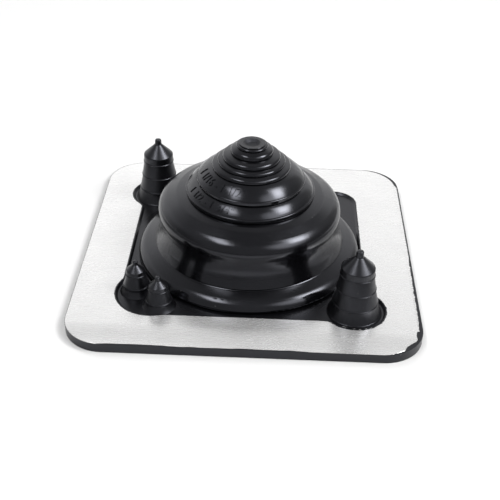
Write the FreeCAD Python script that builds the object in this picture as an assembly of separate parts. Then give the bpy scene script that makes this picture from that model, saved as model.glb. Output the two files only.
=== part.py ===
import FreeCAD, Part
import math
import os

# Roof cable seal: one rubber moulding with a stepped cone over a round bellows and four small
# stepped cones at the corners, with a square aluminium flange plate inlaid in its base.
# Millimetres, +Z up. The origin is the bottom centre of the square base.
# +X is to the right and +Y to the back when the pair of small cones is at the front left.

# Square base sheet
BASE_SIDE = 115.0
BASE_CORNER = 13.4
BASE_TOP = 3.2
SHEET_TOP = 2.45
RIB_INSETS = (4.0, 8.0)
RIB_GROOVE = 1.6
RIB_DEPTH = 0.6

# Flange plate, lying in the top of the base with a strip of rubber left bare along its right side
PLATE_WIDTH = 113.75
PLATE_DEPTH = 114.7
PLATE_CORNER = 13.3
PLATE_CENTRE = (-0.52, -0.05)
PLATE_THICKNESS = 1.0

# Cut-out of the plate: a round-cornered rectangle with a lobe (x, y, radius) around each corner's cones
CUT_WIDTH = 82.0
CUT_DEPTH = 81.15
CUT_CORNER = 8.4
CUT_CENTRE = (-0.8, -1.13)
CUT_LOBES = ((36.0, -35.2, 10.6), (-36.1, 33.8, 10.6), (-30.7, -29.5, 13.0))
CUT_BLEND = 3.5
LIP_WIDTH = 0.3
LIP_SLOPE = 0.65

# Corner cones as x, y and share of the full height: two large ones across the base, two small ones in one corner
LARGE_CONES = ((36.0, -35.2, 1.0), (-36.1, 33.8, 0.96))
SMALL_CONES = ((-36.6, -28.1, 1.0), (-28.15, -35.8, 0.97))

# Outer profiles are read upward as corners: radius, height, corner rounding
BOOT_ROOT = 1.0
BELLOWS = (
    (38.3, BOOT_ROOT, 0),
    (38.3, SHEET_TOP, 0.4),
    (39.6, 2.95, 0.8),
    (38.3, 5.8, 3.8),
    (33.3, 7.45, 0.2),
    (32.9, 7.75, 0),
    (33.4, 8.05, 0.2),
    (31.1, 14.2, 14.0),
    (32.15, 22.7, 4.8),
    (25.5, 25.6, 3.0),
    (22.8, 26.2, 0.2),
)
# Each step: lip radius, lip height, undercut below the lip, bead height, wall set-back above the bead,
# and the crown corner where the step rounds inward
STEPS = (
    (22.3, 26.7, 0.5, 1.2, 0.6, (20.1, 30.2, 7.0)),
    (18.6, 31.2, 0.6, 1.2, 0.5, (16.2, 35.0, 10.0)),
    (13.5, 36.4, 0.45, 0, 0, (13.4, 37.35, 0.8)),
    (11.6, 38.25, 0.3, 0, 0, (11.5, 39.0, 0.7)),
    (9.9, 39.75, 0.3, 0, 0, (9.8, 40.75, 0.9)),
    (7.3, 41.7, 0.3, 0, 0, (7.2, 42.9, 1.1)),
    (5.4, 44.05, 0.3, 0, 0, (5.3, 44.5, 0.4)),
)
BEAD_ROUND = 0.35
LIP_ROUND = 0.12
UNDERCUT_DROP = 0.25
# The flat rim of the tip with its sunk middle
TIP_RIM = (
    (4.45, 44.6, 0),
    (4.6, 44.95, 0.15),
    (2.75, 44.95, 0.15),
    (1.7, 44.1, 0.3),
    (0, 44.1, 0),
)
BOOT_HOLLOW = (
    (36.6, 0, 0),
    (36.6, 2.4, 1.2),
    (36.9, 4.5, 1.4),
    (31.2, 5.7, 0.8),
    (29.2, 14.2, 12.0),
    (30.2, 20.9, 3.2),
    (20.6, 24.4, 1.5),
    (16.8, 29.4, 2.0),
    (11.6, 34.9, 2.0),
    (8.2, 38.4, 1.5),
    (4.0, 42.4, 0.8),
    (0, 42.6, 0),
)

# Corner cones: foot, then the lips of the tiers as radius and height, then the cap with its nub
LARGE_FOOT = (
    (8.9, BOOT_ROOT, 0),
    (8.9, 2.95, 0.15),
    (8.1, 3.6, 0.8),
)
LARGE_LIPS = ((7.6, 7.3), (6.6, 12.8), (5.8, 18.4))
LARGE_CAP = (
    (5.5, 21.1, 0.5),
    (1.3, 25.3, 0.3),
    (1.15, 27.3, 0.4),
    (0, 27.4, 0),
)
LARGE_HOLLOW = (
    (6.8, 0, 0),
    (3.9, 18.4, 0.8),
    (0, 22.2, 0),
)
SMALL_FOOT = (
    (4.85, BOOT_ROOT, 0),
    (4.85, 2.8, 0.15),
    (4.45, 3.2, 0.4),
)
SMALL_LIPS = ((4.5, 5.2), (3.5, 9.45))
SMALL_CAP = (
    (3.05, 10.9, 0.3),
    (0.9, 12.8, 0.25),
    (0.85, 14.15, 0.35),
    (0, 14.25, 0),
)
SMALL_HOLLOW = (
    (3.6, 0, 0),
    (2.0, 10.4, 0.5),
    (0, 11.4, 0),
)
# Each lip overhangs the tier below it and flares out from the tier above
LIP_UNDERCUT = 0.35
FLARE_WIDTH = 0.28
FLARE_HEIGHT = 0.35
FLARE_ROUND = 0.3


def boot_profile():
    """Outer corners of the boot from the base sheet to the middle of the tip."""
    corners = list(BELLOWS)
    for radius, height, undercut, bead, set_back, crown in STEPS:
        corners.append((radius - undercut, height - UNDERCUT_DROP, 0))
        if bead:
            corners.append((radius, height, BEAD_ROUND))
            corners.append((radius, height + bead, BEAD_ROUND))
            corners.append((radius - set_back, height + bead + UNDERCUT_DROP, 0))
        else:
            corners.append((radius, height, LIP_ROUND))
        corners.append(crown)
    corners.extend(TIP_RIM)
    return corners


def cone_profile(foot, lips, cap):
    """Outer corners of a corner cone, where each tier flares out to its lip."""
    corners = list(foot)
    for radius, height in lips:
        corners.append((radius - LIP_UNDERCUT, height - UNDERCUT_DROP, 0))
        corners.append((radius, height, LIP_ROUND))
        corners.append((radius - FLARE_WIDTH, height + FLARE_HEIGHT, FLARE_ROUND))
    corners.extend(cap)
    return corners


def rounded_wire(corners):
    """Closed wire through corners (radius, height, rounding) in the XZ plane, with tangent arcs."""
    points = [FreeCAD.Vector(radius, 0, height) for radius, height, rounding in corners]
    count = len(points)
    edges = []
    starts = []
    ends = []
    arcs = []
    for index, corner in enumerate(points):
        rounding = corners[index][2]
        if not rounding:
            starts.append(corner)
            ends.append(corner)
            arcs.append(None)
            continue
        before = (points[index - 1] - corner).normalize()
        after = (points[(index + 1) % count] - corner).normalize()
        half_angle = before.getAngle(after) / 2
        reach = rounding / math.tan(half_angle)
        middle_way = (before + after).normalize()
        middle = corner + middle_way * (rounding / math.sin(half_angle) - rounding)
        starts.append(corner + before * reach)
        ends.append(corner + after * reach)
        arcs.append(middle)
    for index in range(count):
        if arcs[index]:
            edges.append(Part.Arc(starts[index], arcs[index], ends[index]).toShape())
        edges.append(Part.LineSegment(ends[index], starts[(index + 1) % count]).toShape())
    return Part.Wire(edges)


def turned(corners, x=0, y=0, share=1.0):
    """Solid of revolution about the vertical through x, y, with its heights times share and a flat floor."""
    scaled = [(radius, height * share, rounding) for radius, height, rounding in corners]
    face = Part.Face(rounded_wire([(0, scaled[0][1], 0)] + scaled))
    solid = face.revolve(FreeCAD.Vector(0, 0, 0), FreeCAD.Vector(0, 0, 1), 360)
    solid.translate(FreeCAD.Vector(x, y, 0))
    return solid


def round_rectangle(width, depth, corner, centre=(0, 0)):
    """Flat rectangular face with round corners."""
    across = width - 2 * corner
    along = depth - 2 * corner
    start = FreeCAD.Vector(centre[0] - across / 2, centre[1] - along / 2, 0)
    return Part.Face(Part.makePlane(across, along, start).OuterWire.makeOffset2D(corner))


def base_outline(inset):
    """Flat outline of the square base, drawn in by inset."""
    side = BASE_SIDE - 2 * inset
    return round_rectangle(side, side, BASE_CORNER - inset)


def disc(x, y, radius):
    """Flat round face."""
    circle = Part.Circle(FreeCAD.Vector(x, y, 0), FreeCAD.Vector(0, 0, 1), radius)
    return Part.Face(Part.Wire(circle.toShape()))


def raised(face, low, high):
    """Flat face drawn up into a prism between two heights."""
    prism = face.extrude(FreeCAD.Vector(0, 0, high - low))
    prism.translate(FreeCAD.Vector(0, 0, low))
    return prism


def cut_out(inset):
    """Cut-out of the plate with its lobes blended in, drawn in by inset."""
    lobes = [disc(*lobe) for lobe in CUT_LOBES]
    core = round_rectangle(CUT_WIDTH, CUT_DEPTH, CUT_CORNER, CUT_CENTRE)
    outline = core.multiFuse(lobes).removeSplitter().Faces[0].OuterWire
    blended = outline.makeOffset2D(CUT_BLEND).makeOffset2D(-CUT_BLEND)
    if inset:
        blended = blended.makeOffset2D(-inset)
    return Part.Face(blended)


def flange_plate():
    """Aluminium plate with its lobed cut-out."""
    outline = round_rectangle(PLATE_WIDTH, PLATE_DEPTH, PLATE_CORNER, PLATE_CENTRE)
    return raised(outline.cut(cut_out(0)), BASE_TOP - PLATE_THICKNESS, BASE_TOP)


def base_sheet(plate):
    """Square rubber sheet with the plate's seat, the sunk middle with sloping sides and sealing ribs."""
    sheet = raised(base_outline(0), 0, BASE_TOP)
    sunk = raised(cut_out(LIP_WIDTH), SHEET_TOP, BASE_TOP)
    middle_height = (SHEET_TOP + BASE_TOP) / 2
    floor_edges = [edge for edge in sunk.Edges if edge.BoundBox.ZMax < middle_height]
    sheet = sheet.cut(sunk.makeChamfer(LIP_SLOPE, floor_edges)).cut(plate)
    for inset in RIB_INSETS:
        ring = base_outline(inset).cut(base_outline(inset + RIB_GROOVE))
        sheet = sheet.cut(raised(ring, 0, RIB_DEPTH))
    return sheet


def rubber_boot(plate):
    """The whole moulding: base sheet, bellows with stepped cone, and corner cones, open underneath."""
    large_cone = cone_profile(LARGE_FOOT, LARGE_LIPS, LARGE_CAP)
    small_cone = cone_profile(SMALL_FOOT, SMALL_LIPS, SMALL_CAP)
    bodies = [turned(boot_profile())]
    bodies += [turned(large_cone, *cone) for cone in LARGE_CONES]
    bodies += [turned(small_cone, *cone) for cone in SMALL_CONES]
    hollows = [turned(BOOT_HOLLOW)]
    hollows += [turned(LARGE_HOLLOW, *cone) for cone in LARGE_CONES]
    hollows += [turned(SMALL_HOLLOW, *cone) for cone in SMALL_CONES]
    moulding = base_sheet(plate).multiFuse(bodies).cut(plate)
    return moulding.cut(Part.makeCompound(hollows)).removeSplitter()


os.makedirs("parts", exist_ok=True)
flange = flange_plate()
boot = rubber_boot(flange)
for name, shape in (("rubber_boot", boot), ("aluminium_flange", flange)):
    shape.exportStep("parts/" + name + ".step")
    print(name, shape.isValid(), len(shape.Solids), round(shape.Volume, 1), shape.BoundBox)
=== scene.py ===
import math

import bmesh
import bpy
from mathutils import Matrix, Vector, noise as wander
from mathutils.bvhtree import BVHTree


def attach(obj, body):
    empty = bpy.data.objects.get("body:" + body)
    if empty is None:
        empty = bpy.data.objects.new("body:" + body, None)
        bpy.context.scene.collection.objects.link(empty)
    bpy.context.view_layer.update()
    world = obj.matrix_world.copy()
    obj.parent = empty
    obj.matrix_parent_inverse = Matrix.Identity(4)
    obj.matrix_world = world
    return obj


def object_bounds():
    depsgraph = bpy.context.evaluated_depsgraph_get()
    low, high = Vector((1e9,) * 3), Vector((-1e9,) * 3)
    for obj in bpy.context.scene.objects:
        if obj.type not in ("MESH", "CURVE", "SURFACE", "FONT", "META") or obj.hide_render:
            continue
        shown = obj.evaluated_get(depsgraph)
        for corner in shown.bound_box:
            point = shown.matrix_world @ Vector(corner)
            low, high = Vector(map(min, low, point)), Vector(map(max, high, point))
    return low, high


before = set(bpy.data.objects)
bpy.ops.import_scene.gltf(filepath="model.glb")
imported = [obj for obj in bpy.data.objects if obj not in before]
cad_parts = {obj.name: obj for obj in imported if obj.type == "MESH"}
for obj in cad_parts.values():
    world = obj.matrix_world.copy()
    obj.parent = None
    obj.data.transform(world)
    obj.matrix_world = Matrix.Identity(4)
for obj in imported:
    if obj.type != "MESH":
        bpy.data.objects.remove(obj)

cad_low, cad_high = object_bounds()
MM = 0.001

# Camera: where the photograph was taken from
IMAGE_SIDE = 500
FOCAL_PIXELS = 917.4
CAMERA_PLACE = Vector((7.96, -272.94, 189.86)) * MM
CAMERA_AZIMUTH = math.radians(1.581)
CAMERA_ELEVATION = math.radians(34.667)
CAMERA_ROLL = math.radians(1.2)
CAMERA_CLIP = (0.01, 20)
SENSOR = 36.0

# Lamps: azimuth and elevation in degrees, turn about the line to the object, distance, width and height in
# metres, and brightness of the face
SOFTBOXES = (
    ("softbox_right", 85, 51, 48, 0.7, 0.54, 0.32, 17.0),
    ("softbox_left", -54, 65, -41, 0.7, 0.62, 0.25, 9.5),
)
FLOOR_FILL = ("floor_fill", -147, 45, 0, 0.9, 0.6, 0.6, 2.25)
# Share of a softbox's face that is at full brightness
SOFTBOX_CORE = 0.25

# Surround: brightness of its parts, and where each starts and ends along the axes of the direction looked in
SIDES_LEVEL = -0.18
SIDES_ACROSS = (0.7, 0.92)
SIDES_UP = (0.3, 0.6)
WALL_LEVELS = (0.75, 0.6)
WALL_ACROSS = (-0.15, 0.2)
WALL_BACK = (0.0, 0.6)
WALL_UP = (0.5, 0.75)
WALL_TOWARDS = (-126, 0)
WALL_END = (-0.1, 0.06)
OVERHEAD_LEVELS = (0.44, 0.28)
OVERHEAD_UP = (0.75, 0.97)
GLOW_TOWARDS = (60, 40)
GLOW_LEVEL = 3.2
GLOW_REACH = (0.9, 0.99)

# White floor: radius in metres, tones and gloss
FLOOR_RADIUS = 3.0
FLOOR_TURNS = 96
FLOOR_TONES = ((0.635, 0.635, 0.635), (0.645, 0.645, 0.645))
FLOOR_TONE_NOISE = (2.0, 1.0)
FLOOR_ROUGH = 0.9
FLOOR_SPECULAR = 0.1
# Dark cloth on the floor outside the picture: half width and half depth of its clear middle in metres, where
# it fades in and ends as shares of them, where it fades out behind, and its tones
APRON_CLEAR = (0.09, 0.125)
APRON_FADE = (0.8, 1.1)
APRON_REACH = 5.0
APRON_BACK = (0.02, 0.06)
APRON_LIFT = 0.0002
APRON_TURNS = 64
APRON_TONES = ((0.13, 0.13, 0.13), (0.17, 0.17, 0.17))
APRON_WEAVE = (400, 2.0)
APRON_ROUGH = 0.9

# Finishes: each noise is given by its waves per metre and its detail, each bump by its depth in metres and
# its strength, and each range by the noise values where a change starts and ends
NOISE_ROUGH = 0.55
MIDDLE_RANGE = (0.3, 0.7)
RUBBER_TONES = ((0.0018, 0.0018, 0.0022), (0.0032, 0.0032, 0.0038))
RUBBER_TONE_RANGE = (0.3, 0.75)
RUBBER_ROUGH = (0.14, 0.2)
RUBBER_SMEARS = (90, 4.0)
RUBBER_GRAIN = (2600, 2.0)
RUBBER_GRAIN_BUMP = (0.00003, 0.2)
RUBBER_MOULD = (320, 3.0)
RUBBER_MOULD_BUMP = (0.00006, 0.25)
RUBBER_IOR = 1.5
RUBBER_SPECULAR = 0.5
# Specular tint: a painted bluish cast of the surrounding light on the rubber's reflections, not a colour of
# the rubber itself
RUBBER_PAINTED_BLUE_CAST = (0.87, 0.89, 1.0, 1)
# Dust: cells per metre, size of a speck in its cell, share of the cells that have one, full part of a speck,
# cover and colour
DUST_SPECKS = (420, 0.12, 0.1)
DUST_CORE = 0.6
DUST_COVER = 0.5
DUST_COLOUR = (0.05, 0.05, 0.05, 1)
# Matt dimple in the tip of the cone: place and reach in metres, full part of the reach, and added roughness
TIP_PLACE = (0.0004, 0, 0.0445)
TIP_REACH = 0.0036
TIP_CORE = 0.7
TIP_MATT = 0.4
# The corner cones are less glossy: from and to in distance from the axis in metres, and added roughness
CORNER_REACH = (0.04, 0.043)
CORNER_MATT = 0.14

PLATE_TONES = ((0.812, 0.810, 0.810), (0.852, 0.850, 0.847))
PLATE_TONE_RANGE = (0.35, 0.65)
PLATE_ROUGH = (0.265, 0.285)
PLATE_EDGE = 0.0004
# Rolled lines along X, large waves and cloudy tones
PLATE_LINES = (2200, 3.0)
PLATE_LINES_STRETCH = (0.02, 1, 1)
PLATE_LINES_SHARE = 0.3
PLATE_LINES_BUMP = (0.00002, 0.02)
PLATE_WAVES = (45, 1.0)
PLATE_WAVES_BUMP = (0.0004, 0.35)
PLATE_CLOUDS = (120, 4.0)
PLATE_CLOUDS_SHARE = 0.7
# Slanting scratches that show in patches: metal without and with scuffs, and the roughness they add
SCRATCHES = (2800, 2.0)
SCRATCHES_STRETCH = (0.05, 1, 1)
SCRATCHES_TURN = -30
SCRATCHES_RANGE = (0.56, 0.7)
PATCHES = (38, 2.0)
PATCHES_RANGE = (0.5, 0.62)
SCUFFS_METAL = (0.79, 0.66)
SCUFFS_ROUGH = 0.08
SCUFFS_BUMP = (0.00002, 0.1)
# Slight sag of the thin plate along its front edge: from and to along Y, and depth, in metres
SAG_REACH = (-0.0575, -0.0465)
SAG_DEPTH = 0.0005

# Flange plate and base outline, in millimetres as all shapes below
PLATE_TOP = 3.2
PLATE_FRONT = -57.35
BASE_HALF = 57.5
BASE_CORNER = 13.4
# How far the added edges stay inside the base
EDGE_INSET = 0.03

# Raised pipe sizes on the two lowest steps: name, text, first and last azimuth in degrees, foot and head of
# the band as radius and height, letter height and height of the letters' feet up the band
SIZE_TEXTS = (
    ("size_letters_low", '1 1/2 - 1 3/4"', -71, -14, (21.6, 28.2), (18.2, 30.9), 2.7, 0.6),
    ("size_letters_high", '1 1/16 - 1 1/2"', -81, -5, (18.0, 32.7), (13.3, 36.1), 3.3, 1.1),
)
LETTER_RELIEF = 0.28
LETTER_SINK = 0.15
LETTER_SLICES = 6
LETTER_CURVE_STEPS = 3
LETTER_HALF = 0.5
# How far outside a band the search for its surface starts
BAND_SEARCH = 2
# Mould mark beside them: azimuth in degrees, height of its foot up the band, width and height
TICK_AZIMUTH = 0.8
TICK_FOOT = 0.3
TICK_SIZE = (0.28, 1.5)

# The soft cone stands a little askew: tilt to the right, between the heights where it starts and is full
LEAN_TILT = math.radians(1.1)
LEAN_START = 8.0
LEAN_FULL = 22.0
LEAN_SETTLE = 0.1
LEAN_LAYERS = 10

# Skirts of the corner cones, under their lowest lip: place, share of the full height, and top and foot as
# radius and height
LARGE_SKIRT = ((7.5, 7.15), (9.05, 2.5))
SMALL_SKIRT = ((4.42, 5.05), (5.6, 2.5))
SKIRTS = (
    (36.0, -35.2, 1.0, LARGE_SKIRT),
    (-36.1, 33.8, 0.96, LARGE_SKIRT),
    (-36.6, -28.1, 1.0, SMALL_SKIRT),
    (-28.15, -35.8, 0.97, SMALL_SKIRT),
)
SKIRT_FLARE = 1.7
SKIRT_WALL = 0.9
SKIRT_TOP_DROP = 0.1
SKIRT_LEVELS = 10
SKIRT_TURNS = 72
SKIRT_SHARP = math.radians(40)

# Thin rubber spilled over the plate at its right front corner: inner outline seen from above
SPILL = (
    (46.6, -57.4), (47.8, -56.4), (48.2, -56.6), (48.9, -57.0), (51.0, -54.9), (51.0, -54.3), (51.6, -53.2),
    (52.7, -52.1), (54.7, -50.5), (55.3, -49.4), (55.1, -47.8), (55.2, -46.7), (55.5, -45.6), (56.3, -45.5),
    (56.4, -44.7), (56.1, -44.2), (56.4, -43.5), (56.4, -41.3),
)
SPILL_RISE = 0.12
SPILL_SINK = 0.4
SPILL_STEPS = 4

# Thin wavy rubber lapped over the front edge of the plate, from left to right: place and reach
FRONT_LAP = (
    (-45.6, 0.02), (-44.2, 0.2), (-42.0, 0.38), (-40.8, 0.43), (-37.7, 0.41), (-34.6, 0.5), (-28.4, 0.45),
    (-25.2, 0.36), (-22.1, 0.16), (-19.0, 0.06), (-15.9, 0.23), (-12.8, 0.05), (-6.6, 0.15), (-3.5, 0.15),
    (-0.4, 0.33), (2.7, 0.31), (5.7, 0.2), (11.9, 0.22), (15.0, 0.35), (18.1, 0.14), (21.2, 0.0),
)
FRONT_LAP_RISE = 0.05
FRONT_LAP_STEPS = 5

# Thin ragged lap of the plate over its right edge, from front to back: place, reach and raggedness
PLATE_LAP = (
    (-43.0, 56.2, 0.0), (-41.0, 56.5, 0.35), (-25.0, 56.6, 0.35), (-8.0, 56.8, 0.3), (-3.0, 57.0, 0.12),
    (44.0, 57.05, 0.06), (46.0, 56.2, 0.0),
)
PLATE_LAP_INNER = 56.0
PLATE_LAP_OUTER = 57.3
PLATE_LAP_STEP = 0.25
PLATE_LAP_RISE = 0.02
PLATE_LAP_SINK = 0.05
# Its teeth: waves per millimetre and layer of the noise
PLATE_LAP_TEETH = ((0.5, 3), (1.3, 5))

# Ragged rubber around the cut-out: least reach over the plate, its teeth as waves per millimetre, layer of
# the noise and reach, its steps along the edge, and its height, depth and reach under the edge
RIM_REACH = 0.06
RIM_TEETH = ((0.9, 0, 0.16), (2.6, 7, 0.14))
RIM_STEP = 0.3
RIM_RISE = 0.06
RIM_SINK = 0.2
RIM_INNER = 0.2
# Where it is most ragged: place and reach, and how much more
TORN_PLACE = (36.0, -38.0)
TORN_REACH = (8.0, 13.0)
TORN_SHARE = 2.2

# Bright burrs along the cut-out at the front right cone: place, length and turn in degrees
BURRS = (
    (32.4, -44.4, 1.7, -20), (35.4, -45.3, 0.9, -4), (37.2, -45.4, 0.7, 3), (39.2, -45.1, 0.9, 16),
    (41.0, -44.3, 0.8, 28),
)
BURR_HALF_WIDTH = 0.12
BURR_LIFT = 0.04
BURR_HEIGHT = 0.1

# How close places are taken as one, in the letters' own units and in metres
LETTER_WELD = 1e-5
PLATE_WELD = 1e-6


# Node helpers
def new_material(name):
    """Empty node material with its Principled shader: material, tree and shader."""
    material = bpy.data.materials.new(name)
    material.use_nodes = True
    tree = material.node_tree
    return material, tree, tree.nodes["Principled BSDF"]


def add(tree, kind, **values):
    """New node with named properties set, and inputs where the name is an input of the node."""
    node = tree.nodes.new(kind)
    for key, value in values.items():
        if key in node.inputs:
            node.inputs[key].default_value = value
        else:
            setattr(node, key, value)
    return node


def place_coordinates(tree, stretch=(1, 1, 1), turn=0.0):
    """Object coordinates, turned about the vertical and stretched, as the socket that textures read."""
    coordinates = add(tree, "ShaderNodeTexCoord")
    turned = add(tree, "ShaderNodeMapping", Rotation=(0, 0, math.radians(turn)))
    tree.links.new(coordinates.outputs["Object"], turned.inputs["Vector"])
    stretched = add(tree, "ShaderNodeMapping", Scale=stretch)
    tree.links.new(turned.outputs["Vector"], stretched.inputs["Vector"])
    return stretched.outputs["Vector"]


def axes(tree, vector):
    """Outputs X, Y and Z of a vector."""
    parts = add(tree, "ShaderNodeSeparateXYZ")
    tree.links.new(vector, parts.inputs["Vector"])
    return parts.outputs


def measure(tree, operation, vector, other=None):
    """Value of a vector: its length, or its distance from or dot product with a fixed vector."""
    node = add(tree, "ShaderNodeVectorMath", operation=operation)
    tree.links.new(vector, node.inputs[0])
    if other is not None:
        node.inputs[1].default_value = other
    return node.outputs["Value"]


def noise(tree, vector, scale, detail):
    """Noise value over the surface, with scale in waves per metre."""
    node = add(tree, "ShaderNodeTexNoise", Scale=scale, Detail=detail, Roughness=NOISE_ROUGH)
    tree.links.new(vector, node.inputs["Vector"])
    return node.outputs["Fac"]


def ramp(tree, value, low, high, low_colour, high_colour):
    """Colour ramp between two places of a value."""
    node = add(tree, "ShaderNodeValToRGB")
    node.color_ramp.elements[0].position = low
    node.color_ramp.elements[0].color = (*low_colour, 1)
    node.color_ramp.elements[1].position = high
    node.color_ramp.elements[1].color = (*high_colour, 1)
    tree.links.new(value, node.inputs["Fac"])
    return node.outputs["Color"]


def spread(tree, value, low, high, from_low=0.0, from_high=1.0, shape="LINEAR"):
    """Value carried from one range to another, held at the ends."""
    node = add(tree, "ShaderNodeMapRange", interpolation_type=shape)
    node.inputs["From Min"].default_value = from_low
    node.inputs["From Max"].default_value = from_high
    node.inputs["To Min"].default_value = low
    node.inputs["To Max"].default_value = high
    tree.links.new(value, node.inputs["Value"])
    return node.outputs["Result"]


def combine(tree, operation, first, second):
    """Two values combined by an arithmetic operation."""
    node = add(tree, "ShaderNodeMath", operation=operation)
    for socket, value in zip(node.inputs, (first, second)):
        if isinstance(value, float):
            socket.default_value = value
        else:
            tree.links.new(value, socket)
    return node.outputs["Value"]


def bump(tree, height, distance, strength, below=None):
    """Bump from a height value, on top of another normal if one is given."""
    node = add(tree, "ShaderNodeBump", Distance=distance, Strength=strength)
    tree.links.new(height, node.inputs["Height"])
    if below is not None:
        tree.links.new(below, node.inputs["Normal"])
    return node.outputs["Normal"]


def specks(tree, vector, scale, size, share):
    """Sparse small dots: 1 inside a dot, 0 elsewhere."""
    cells = add(tree, "ShaderNodeTexVoronoi", Scale=scale)
    tree.links.new(vector, cells.inputs["Vector"])
    shade = add(tree, "ShaderNodeSeparateColor")
    tree.links.new(cells.outputs["Color"], shade.inputs["Color"])
    near = spread(tree, cells.outputs["Distance"], 1.0, 0.0, size * DUST_CORE, size)
    return combine(tree, "MULTIPLY", near, combine(tree, "LESS_THAN", shade.outputs["Red"], share))


# Materials
def rubber_material():
    """Black moulded rubber: semi-gloss, with a fine grain, soft smears and a trace of dust."""
    material, tree, shader = new_material("moulded_rubber")
    vector = place_coordinates(tree)
    smears = noise(tree, vector, *RUBBER_SMEARS)
    grain = noise(tree, vector, *RUBBER_GRAIN)
    mould = noise(tree, vector, *RUBBER_MOULD)
    dust = specks(tree, vector, *DUST_SPECKS)
    dusty = add(tree, "ShaderNodeMixRGB", Color2=DUST_COLOUR)
    tree.links.new(combine(tree, "MULTIPLY", dust, DUST_COVER), dusty.inputs["Fac"])
    tree.links.new(ramp(tree, smears, *RUBBER_TONE_RANGE, *RUBBER_TONES), dusty.inputs["Color1"])
    tree.links.new(dusty.outputs["Color"], shader.inputs["Base Color"])
    rough = spread(tree, smears, *RUBBER_ROUGH, *MIDDLE_RANGE)
    from_tip = measure(tree, "DISTANCE", vector, TIP_PLACE)
    tip = spread(tree, from_tip, TIP_MATT, 0.0, TIP_REACH * TIP_CORE, TIP_REACH)
    from_axis = measure(tree, "LENGTH", place_coordinates(tree, (1, 1, 0)))
    corner = spread(tree, from_axis, 0.0, CORNER_MATT, *CORNER_REACH)
    matt = combine(tree, "ADD", combine(tree, "ADD", rough, tip), corner)
    tree.links.new(matt, shader.inputs["Roughness"])
    skin = bump(tree, mould, *RUBBER_MOULD_BUMP)
    tree.links.new(bump(tree, grain, *RUBBER_GRAIN_BUMP, skin), shader.inputs["Normal"])
    shader.inputs["IOR"].default_value = RUBBER_IOR
    shader.inputs["Specular IOR Level"].default_value = RUBBER_SPECULAR
    # Painted bluish cast of the surrounding light, laid on the reflections
    shader.inputs["Specular Tint"].default_value = RUBBER_PAINTED_BLUE_CAST
    return material


def aluminium_material():
    """Mill-finish aluminium sheet: rolled lines, slight waves, slanting scratches and scuffs."""
    material, tree, shader = new_material("rolled_aluminium")
    vector = place_coordinates(tree)
    lines = noise(tree, place_coordinates(tree, PLATE_LINES_STRETCH), *PLATE_LINES)
    waves = noise(tree, vector, *PLATE_WAVES)
    clouds = noise(tree, vector, *PLATE_CLOUDS)
    scratches = noise(tree, place_coordinates(tree, SCRATCHES_STRETCH, SCRATCHES_TURN), *SCRATCHES)
    scratched = spread(tree, scratches, 0.0, 1.0, *SCRATCHES_RANGE)
    patched = spread(tree, noise(tree, vector, *PATCHES), 0.0, 1.0, *PATCHES_RANGE)
    scuffs = combine(tree, "MULTIPLY", scratched, patched)
    cloudy = combine(tree, "MULTIPLY", clouds, PLATE_CLOUDS_SHARE)
    streaks = combine(tree, "ADD", cloudy, combine(tree, "MULTIPLY", lines, PLATE_LINES_SHARE))
    tree.links.new(ramp(tree, streaks, *PLATE_TONE_RANGE, *PLATE_TONES), shader.inputs["Base Color"])
    tree.links.new(spread(tree, scuffs, *SCUFFS_METAL), shader.inputs["Metallic"])
    rough = spread(tree, lines, *PLATE_ROUGH, *MIDDLE_RANGE)
    scuffed = combine(tree, "MULTIPLY", scuffs, SCUFFS_ROUGH)
    tree.links.new(combine(tree, "ADD", rough, scuffed), shader.inputs["Roughness"])
    edges = add(tree, "ShaderNodeBevel", Radius=PLATE_EDGE)
    inward = spread(tree, axes(tree, vector)["Y"], 0.0, 1.0, *SAG_REACH, "SMOOTHSTEP")
    sagged = bump(tree, inward, SAG_DEPTH, 1.0, edges.outputs["Normal"])
    rolled = bump(tree, lines, *PLATE_LINES_BUMP, sagged)
    waved = bump(tree, waves, *PLATE_WAVES_BUMP, rolled)
    tree.links.new(bump(tree, scuffs, *SCUFFS_BUMP, waved), shader.inputs["Normal"])
    return material


def floor_material():
    """Plain white studio floor."""
    material, tree, shader = new_material("studio_floor")
    tone = noise(tree, place_coordinates(tree), *FLOOR_TONE_NOISE)
    tree.links.new(ramp(tree, tone, *MIDDLE_RANGE, *FLOOR_TONES), shader.inputs["Base Color"])
    shader.inputs["Roughness"].default_value = FLOOR_ROUGH
    shader.inputs["Specular IOR Level"].default_value = FLOOR_SPECULAR
    return material


def apron_material():
    """Dark cloth that fades in away from the object."""
    material, tree, shader = new_material("dark_cloth")
    away = measure(tree, "LENGTH", place_coordinates(tree, (1 / APRON_CLEAR[0], 1 / APRON_CLEAR[1], 0)))
    vector = place_coordinates(tree)
    around = spread(tree, away, 0.0, 1.0, *APRON_FADE, "SMOOTHSTEP")
    front = spread(tree, axes(tree, vector)["Y"], 1.0, 0.0, *APRON_BACK, "SMOOTHSTEP")
    tree.links.new(combine(tree, "MULTIPLY", around, front), shader.inputs["Alpha"])
    weave = noise(tree, vector, *APRON_WEAVE)
    tree.links.new(ramp(tree, weave, *MIDDLE_RANGE, *APRON_TONES), shader.inputs["Base Color"])
    shader.inputs["Roughness"].default_value = APRON_ROUGH
    return material


# Pieces
def add_piece(name, points, faces, material):
    """New mesh piece that rides with the part; points in millimetres."""
    mesh = bpy.data.meshes.new(name)
    mesh.from_pydata([Vector(point) * MM for point in points], [], faces)
    mesh.update()
    mesh.materials.append(material)
    piece = bpy.data.objects.new(name, mesh)
    bpy.context.scene.collection.objects.link(piece)
    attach(piece, "root")
    return piece


def node_surface(node):
    """Search tree over a solid's surface, in millimetres."""
    bpy.context.view_layer.update()
    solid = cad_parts[node]
    points = [solid.matrix_world @ vertex.co / MM for vertex in solid.data.vertices]
    return BVHTree.FromPolygons(points, [polygon.vertices[:] for polygon in solid.data.polygons])


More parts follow.
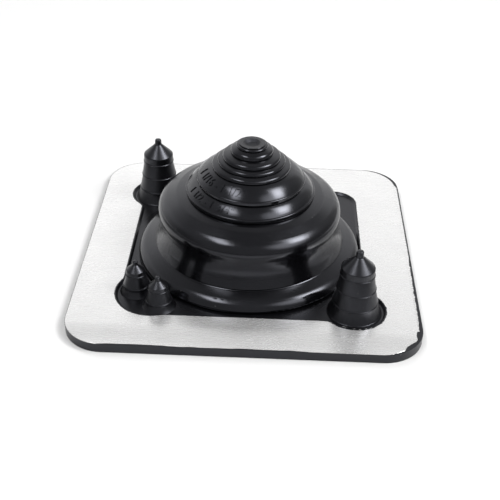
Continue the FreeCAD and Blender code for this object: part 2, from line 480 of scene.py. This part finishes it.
def on_band(surface, azimuth, foot, head, up, rise):
    """Place on a band of the cone, up from its foot and rise above its surface, all in millimetres."""
    slant = Vector((head[0] - foot[0], head[1] - foot[1])).normalized()
    radius = foot[0] + slant.x * up
    height = foot[1] + slant.y * up
    around = Vector((math.sin(azimuth), -math.cos(azimuth), 0))
    outward = around * slant.y - Vector((0, 0, slant.x))
    start = around * radius + Vector((0, 0, height)) + outward * BAND_SEARCH
    return surface.ray_cast(start, -outward)[0] + outward * rise


def text_mesh(text, height):
    """Points and faces of a line of text, front at +Z and back at -Z, foot at zero, sliced across."""
    curve = bpy.data.curves.new("letters", "FONT")
    curve.body = text
    curve.resolution_u = LETTER_CURVE_STEPS
    curve.extrude = LETTER_HALF
    holder = bpy.data.objects.new("letters", curve)
    bpy.context.scene.collection.objects.link(holder)
    mesh = bpy.data.meshes.new_from_object(holder.evaluated_get(bpy.context.evaluated_depsgraph_get()))
    bpy.data.objects.remove(holder)
    bpy.data.curves.remove(curve)
    shape = bmesh.new()
    shape.from_mesh(mesh)
    bpy.data.meshes.remove(mesh)
    bmesh.ops.remove_doubles(shape, verts=shape.verts, dist=LETTER_WELD)
    top = max(vertex.co.y for vertex in shape.verts)
    for index in range(1, LETTER_SLICES):
        everything = shape.verts[:] + shape.edges[:] + shape.faces[:]
        level = Vector((0, top * index / LETTER_SLICES, 0))
        bmesh.ops.bisect_plane(shape, geom=everything, plane_co=level, plane_no=Vector((0, 1, 0)))
    shape.verts.index_update()
    points = [(vertex.co.x, vertex.co.y * height / top, vertex.co.z) for vertex in shape.verts]
    faces = [[vertex.index for vertex in face.verts] for face in shape.faces]
    shape.free()
    return points, faces


def make_sizes(surface, material):
    """Raised pipe sizes wrapped around the two lowest steps, and the mould mark beside them."""
    pieces = []
    for name, text, first, last, foot, head, height, start in SIZE_TEXTS:
        points, faces = text_mesh(text, height)
        left = min(point[0] for point in points)
        width = max(point[0] for point in points) - left
        wrapped = []
        for x, y, z in points:
            azimuth = math.radians(first + (last - first) * (x - left) / width)
            rise = LETTER_RELIEF if z > 0 else -LETTER_SINK
            wrapped.append(on_band(surface, azimuth, foot, head, start + y, rise))
        pieces.append(add_piece(name, wrapped, faces, material))
    foot, head = SIZE_TEXTS[1][4:6]
    half_turn = TICK_SIZE[0] / 2 / foot[0]
    middle = math.radians(TICK_AZIMUTH)
    corners = []
    for rise in (-LETTER_SINK, LETTER_RELIEF):
        for side, up in ((-1, 0), (1, 0), (1, TICK_SIZE[1]), (-1, TICK_SIZE[1])):
            azimuth = middle + side * half_turn
            corners.append(on_band(surface, azimuth, foot, head, TICK_FOOT + up, rise))
    sides = [(0, 1, 5, 4), (1, 2, 6, 5), (2, 3, 7, 6), (3, 0, 4, 7), (4, 5, 6, 7), (3, 2, 1, 0)]
    pieces.append(add_piece("mould_mark", corners, sides, material))
    return pieces


def make_lean(pieces):
    """Tilt the upper part of the boot, with what sits on it, through a cage around it."""
    cage = bpy.data.lattices.new("lean_cage")
    holder = bpy.data.objects.new("lean_cage", cage)
    bpy.context.scene.collection.objects.link(holder)
    holder.hide_render = True
    cage.points_w = LEAN_LAYERS
    for side in ("u", "v", "w"):
        setattr(cage, "interpolation_type_" + side, "KEY_LINEAR")
    size = cad_high - cad_low
    holder.location = (cad_high + cad_low) / 2
    holder.scale = size
    for point in cage.points:
        x = point.co.x * size.x
        height = (point.co.z + 0.5) * size.z
        share = max(0.0, min(1.0, (height / MM - LEAN_START) / (LEAN_FULL - LEAN_START)))
        aside = LEAN_TILT * share * (height - LEAN_FULL * MM)
        down = LEAN_TILT * share * x + LEAN_SETTLE * MM * share
        point.co_deform = point.co + Vector((aside / size.x, 0, -down / size.z))
    for piece in pieces:
        piece.modifiers.new("lean", "LATTICE").object = holder


def strip(inner, outer, low, high, closed):
    """Points and faces of a thin solid strip between two rows of places seen from above."""
    points = []
    for (ax, ay), (bx, by) in zip(inner, outer):
        points += [(ax, ay, low), (ax, ay, high), (bx, by, high), (bx, by, low)]
    count = len(inner)
    faces = []
    for index in range(count if closed else count - 1):
        a = 4 * index
        b = 4 * ((index + 1) % count)
        for side in range(4):
            faces.append((a + side, a + (side + 1) % 4, b + (side + 1) % 4, b + side))
    if not closed:
        faces.append((0, 3, 2, 1))
        faces.append((4 * count - 4, 4 * count - 3, 4 * count - 2, 4 * count - 1))
    return points, faces


def make_skirts(material):
    """Flared skirts between the lowest lip of each corner cone and the base sheet."""
    points = []
    faces = []
    for x, y, share, (top, foot) in SKIRTS:
        inside = top[0] - SKIRT_WALL
        section = [(inside, top[1] - SKIRT_TOP_DROP)]
        for level in range(SKIRT_LEVELS):
            down = level / (SKIRT_LEVELS - 1)
            radius = top[0] + (foot[0] - top[0]) * down ** SKIRT_FLARE
            section.append((radius, top[1] + (foot[1] - top[1]) * down))
        section.append((inside, foot[1]))
        start = len(points)
        count = len(section)
        for turn in range(SKIRT_TURNS):
            angle = math.tau * turn / SKIRT_TURNS
            for radius, height in section:
                points.append((x + radius * math.cos(angle), y + radius * math.sin(angle), height * share))
            here = start + turn * count
            there = start + (turn + 1) % SKIRT_TURNS * count
            for corner in range(count):
                after = (corner + 1) % count
                faces.append((here + corner, here + after, there + after, there + corner))
    piece = add_piece("cone_skirts", points, faces, material)
    piece.data.shade_smooth()
    piece.data.set_sharp_from_angle(angle=SKIRT_SHARP)


def base_edge(x, y):
    """Nearest place on the outer edge of the base sheet, a hair inside it."""
    half = BASE_HALF - EDGE_INSET
    core = BASE_HALF - BASE_CORNER
    centre = Vector((max(-core, min(core, x)), max(-core, min(core, y))))
    away = Vector((x, y)) - centre
    edge = centre + away.normalized() * (half - core)
    return edge.x, edge.y


def make_spill(material):
    """Thin lobes of rubber that ran over the plate at its right front corner."""
    inner = []
    for (ax, ay), (bx, by) in zip(SPILL, SPILL[1:]):
        for step in range(SPILL_STEPS):
            share = step / SPILL_STEPS
            inner.append((ax + (bx - ax) * share, ay + (by - ay) * share))
    inner.append(SPILL[-1])
    outer = [base_edge(*place) for place in inner]
    points, faces = strip(inner, outer, PLATE_TOP - SPILL_SINK, PLATE_TOP + SPILL_RISE, False)
    add_piece("corner_spill", points, faces, material)


def make_front_lap(material):
    """Thin wavy rubber lapped over the front edge of the plate."""
    inner = []
    for (x, reach), (next_x, next_reach) in zip(FRONT_LAP, FRONT_LAP[1:]):
        for step in range(FRONT_LAP_STEPS):
            share = step / FRONT_LAP_STEPS
            eased = (1 - math.cos(math.pi * share)) / 2
            inner.append((x + (next_x - x) * share, PLATE_FRONT + reach + (next_reach - reach) * eased))
    outer = [base_edge(*place) for place in inner]
    points, faces = strip(inner, outer, PLATE_TOP - SPILL_SINK, PLATE_TOP + FRONT_LAP_RISE, False)
    add_piece("front_lap", points, faces, material)


def make_plate_lap(material):
    """Thin ragged lap of the plate over its right edge."""
    inner = []
    outer = []
    for (y, reach, ragged), (next_y, next_reach, next_ragged) in zip(PLATE_LAP, PLATE_LAP[1:]):
        count = round((next_y - y) / PLATE_LAP_STEP)
        for step in range(count):
            share = step / count
            place = y + (next_y - y) * share
            rough = sum(wander.noise(Vector((0, place * scale, layer))) for scale, layer in PLATE_LAP_TEETH)
            tooth = (ragged + (next_ragged - ragged) * share) * rough
            inner.append((PLATE_LAP_INNER, place))
            outer.append((min(PLATE_LAP_OUTER, reach + (next_reach - reach) * share + tooth), place))
    points, faces = strip(inner, outer, PLATE_TOP - PLATE_LAP_SINK, PLATE_TOP + PLATE_LAP_RISE, False)
    add_piece("plate_lap", points, faces, material)


def cut_out_loop():
    """Inner edge of the plate's top seen from above, in order, in millimetres."""
    shape = bmesh.new()
    shape.from_mesh(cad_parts["aluminium_flange"].data)
    bmesh.ops.remove_doubles(shape, verts=shape.verts, dist=PLATE_WELD)
    level = PLATE_TOP * MM
    tops = set()
    for face in shape.faces:
        if all(abs(vertex.co.z - level) < PLATE_WELD for vertex in face.verts):
            tops.add(face)
    links = {}
    for edge in shape.edges:
        if sum(face in tops for face in edge.link_faces) == 1:
            for vertex in edge.verts:
                links.setdefault(vertex.index, []).append(edge.other_vert(vertex).index)
    shape.verts.ensure_lookup_table()
    start = min(links, key=lambda index: shape.verts[index].co.length)
    loop = [start]
    previous, current = start, links[start][0]
    while current != start:
        loop.append(current)
        ahead = [index for index in links[current] if index != previous]
        previous, current = current, ahead[0]
    places = [shape.verts[index].co.xy / MM for index in loop]
    shape.free()
    return places


def make_ragged_rim(material):
    """Ragged thin edge of rubber around the plate's cut-out."""
    loop = cut_out_loop()
    dense = []
    for here, there in zip(loop, loop[1:] + loop[:1]):
        pieces = max(1, round((there - here).length / RIM_STEP))
        dense += [here.lerp(there, step / pieces) for step in range(pieces)]
    inner = []
    outer = []
    count = len(dense)
    turning = sum(a.x * b.y - a.y * b.x for a, b in zip(dense, dense[1:] + dense[:1]))
    for index, place in enumerate(dense):
        along = (dense[(index + 1) % count] - dense[index - 1]).normalized()
        onto_plate = Vector((along.y, -along.x)) * (1 if turning > 0 else -1)
        teeth = 0.0
        for scale, layer, reach in RIM_TEETH:
            teeth += reach * max(0.0, wander.noise(Vector((place.x, place.y, layer)) * scale))
        near = (TORN_REACH[1] - (place - Vector(TORN_PLACE)).length) / (TORN_REACH[1] - TORN_REACH[0])
        torn = 1 + TORN_SHARE * max(0.0, min(1.0, near))
        inner.append(tuple(place - onto_plate * RIM_INNER))
        outer.append(tuple(place + onto_plate * (RIM_REACH + torn * teeth)))
    points, faces = strip(inner, outer, PLATE_TOP - RIM_SINK, PLATE_TOP + RIM_RISE, True)
    add_piece("ragged_rim", points, faces, material)


def make_burrs(material):
    """Slivers of bright metal turned up along the cut edge."""
    points = []
    faces = []
    for x, y, length, turn in BURRS:
        angle = math.radians(turn)
        along = Vector((math.cos(angle), math.sin(angle), 0)) * (length / 2)
        across = Vector((-math.sin(angle), math.cos(angle), 0)) * BURR_HALF_WIDTH
        centre = Vector((x, y, PLATE_TOP + BURR_LIFT))
        start = len(points)
        points += [centre - along, centre - across, centre + along, centre + across]
        points.append(centre + Vector((0, 0, BURR_HEIGHT)))
        faces += [(start + side, start + (side + 1) % 4, start + 4) for side in range(4)]
        faces.append((start + 3, start + 2, start + 1, start))
    add_piece("edge_burrs", points, faces, material)


# Studio
def direction(azimuth, elevation):
    """Unit vector from the object towards a place; azimuth 0 is the front, 90 the right side."""
    a = math.radians(azimuth)
    e = math.radians(elevation)
    return Vector((math.sin(a) * math.cos(e), -math.cos(a) * math.cos(e), math.sin(e)))


def make_floor():
    """White floor under the object."""
    bpy.ops.mesh.primitive_circle_add(vertices=FLOOR_TURNS, radius=FLOOR_RADIUS, fill_type="NGON")
    floor = bpy.context.object
    floor.name = "studio_floor"
    floor.data.materials.append(floor_material())


def make_apron():
    """Dark cloth on the floor around the front, outside the picture, which the rubber mirrors."""
    points = []
    faces = []
    for reach in (APRON_FADE[0], APRON_REACH):
        for turn in range(APRON_TURNS):
            angle = math.tau * turn / APRON_TURNS
            x = APRON_CLEAR[0] * reach * math.cos(angle)
            y = APRON_CLEAR[1] * reach * math.sin(angle)
            points.append((x, y, APRON_LIFT))
    for turn in range(APRON_TURNS):
        after = (turn + 1) % APRON_TURNS
        faces.append((turn, APRON_TURNS + turn, APRON_TURNS + after, after))
    mesh = bpy.data.meshes.new("dark_cloth")
    mesh.from_pydata(points, [], faces)
    mesh.materials.append(apron_material())
    apron = bpy.data.objects.new("dark_cloth", mesh)
    bpy.context.scene.collection.objects.link(apron)
    apron.visible_camera = False
    apron.visible_diffuse = False
    apron.visible_shadow = False


def make_softbox(name, azimuth, elevation, turn, distance, width, height, radiance):
    """Flat lamp that faces the object, with the brightness of its face given."""
    lamp = bpy.data.lights.new(name, "AREA")
    lamp.shape = "RECTANGLE"
    lamp.size = width
    lamp.size_y = height
    lamp.energy = radiance * math.pi * width * height
    box = bpy.data.objects.new(name, lamp)
    bpy.context.scene.collection.objects.link(box)
    towards = direction(azimuth, elevation)
    box.location = towards * distance
    facing = towards.to_track_quat("Z", "Y").to_matrix() @ Matrix.Rotation(math.radians(turn), 3, "Z")
    box.rotation_euler = facing.to_euler()
    return box


def soften(lamp):
    """Let a lamp's face fade from its middle to its edges."""
    lamp.use_nodes = True
    tree = lamp.node_tree
    parts = axes(tree, add(tree, "ShaderNodeNewGeometry").outputs["Parametric"])
    fades = []
    for side in ("X", "Y"):
        away = combine(tree, "ABSOLUTE", combine(tree, "SUBTRACT", parts[side], 0.5), 0.0)
        fades.append(spread(tree, away, 1.0, 0.0, 0.5 * SOFTBOX_CORE, 0.5, "SMOOTHSTEP"))
    tree.links.new(combine(tree, "MULTIPLY", *fades), tree.nodes["Emission"].inputs["Strength"])


def make_world():
    """Surround: a bright wall behind, dim sides and ceiling, and a soft glow before the right lamp."""
    world = bpy.data.worlds.new("studio_surround")
    bpy.context.scene.world = world
    world.use_nodes = True
    tree = world.node_tree
    looking = add(tree, "ShaderNodeTexCoord").outputs["Generated"]
    parts = axes(tree, looking)
    sideways = combine(tree, "ABSOLUTE", parts["X"], 0.0)
    sides_up = spread(tree, parts["Z"], 1.0, 0.0, *SIDES_UP)
    sides = combine(tree, "MULTIPLY", spread(tree, sideways, 0.0, SIDES_LEVEL, *SIDES_ACROSS), sides_up)
    wall = spread(tree, parts["Y"], 0.0, 1.0, *WALL_BACK)
    wall = combine(tree, "MULTIPLY", wall, spread(tree, parts["Z"], 1.0, 0.0, *WALL_UP))
    wall_turn = measure(tree, "DOT_PRODUCT", looking, direction(*WALL_TOWARDS))
    wall = combine(tree, "MULTIPLY", wall, spread(tree, wall_turn, 0.0, 1.0, *WALL_END))
    wall = combine(tree, "MULTIPLY", wall, spread(tree, parts["X"], *WALL_LEVELS, *WALL_ACROSS))
    overhead = spread(tree, parts["Z"], *OVERHEAD_LEVELS, *OVERHEAD_UP)
    glow_turn = measure(tree, "DOT_PRODUCT", looking, direction(*GLOW_TOWARDS))
    glow = spread(tree, glow_turn, 0.0, GLOW_LEVEL, *GLOW_REACH)
    dim = combine(tree, "ADD", sides, wall)
    level = combine(tree, "ADD", dim, combine(tree, "ADD", glow, overhead))
    tree.links.new(level, tree.nodes["Background"].inputs["Color"])
    tree.nodes["Background"].inputs["Strength"].default_value = 1.0


def make_camera():
    """Camera at the photograph's place."""
    data = bpy.data.cameras.new("photo_camera")
    data.sensor_width = SENSOR
    data.lens = SENSOR * FOCAL_PIXELS / IMAGE_SIDE
    data.clip_start, data.clip_end = CAMERA_CLIP
    camera = bpy.data.objects.new("photo_camera", data)
    bpy.context.scene.collection.objects.link(camera)
    back = direction(math.degrees(CAMERA_AZIMUTH), math.degrees(CAMERA_ELEVATION))
    right = Vector((math.cos(CAMERA_AZIMUTH), math.sin(CAMERA_AZIMUTH), 0))
    turn = Matrix((right, back.cross(right), back)).transposed() @ Matrix.Rotation(CAMERA_ROLL, 3, "Z")
    camera.matrix_world = Matrix.Translation(CAMERA_PLACE) @ turn.to_4x4()
    bpy.context.scene.camera = camera


# Finish of the solids
def dress(node, material):
    """Give a solid its finish."""
    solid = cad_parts[node]
    solid.data.materials.clear()
    solid.data.materials.append(material)


rubber = rubber_material()
aluminium = aluminium_material()
dress("rubber_boot", rubber)
dress("aluminium_flange", aluminium)
sizes = make_sizes(node_surface("rubber_boot"), rubber)
make_lean([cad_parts["rubber_boot"]] + sizes)
make_skirts(rubber)
make_spill(rubber)
make_front_lap(rubber)
make_ragged_rim(rubber)
make_plate_lap(aluminium)
make_burrs(aluminium)

make_floor()
make_apron()
make_world()
for softbox in SOFTBOXES:
    soften(make_softbox(*softbox).data)
fill = make_softbox(*FLOOR_FILL)
fill.visible_glossy = False
make_camera()
bpy.context.scene.view_settings.view_transform = "Standard"
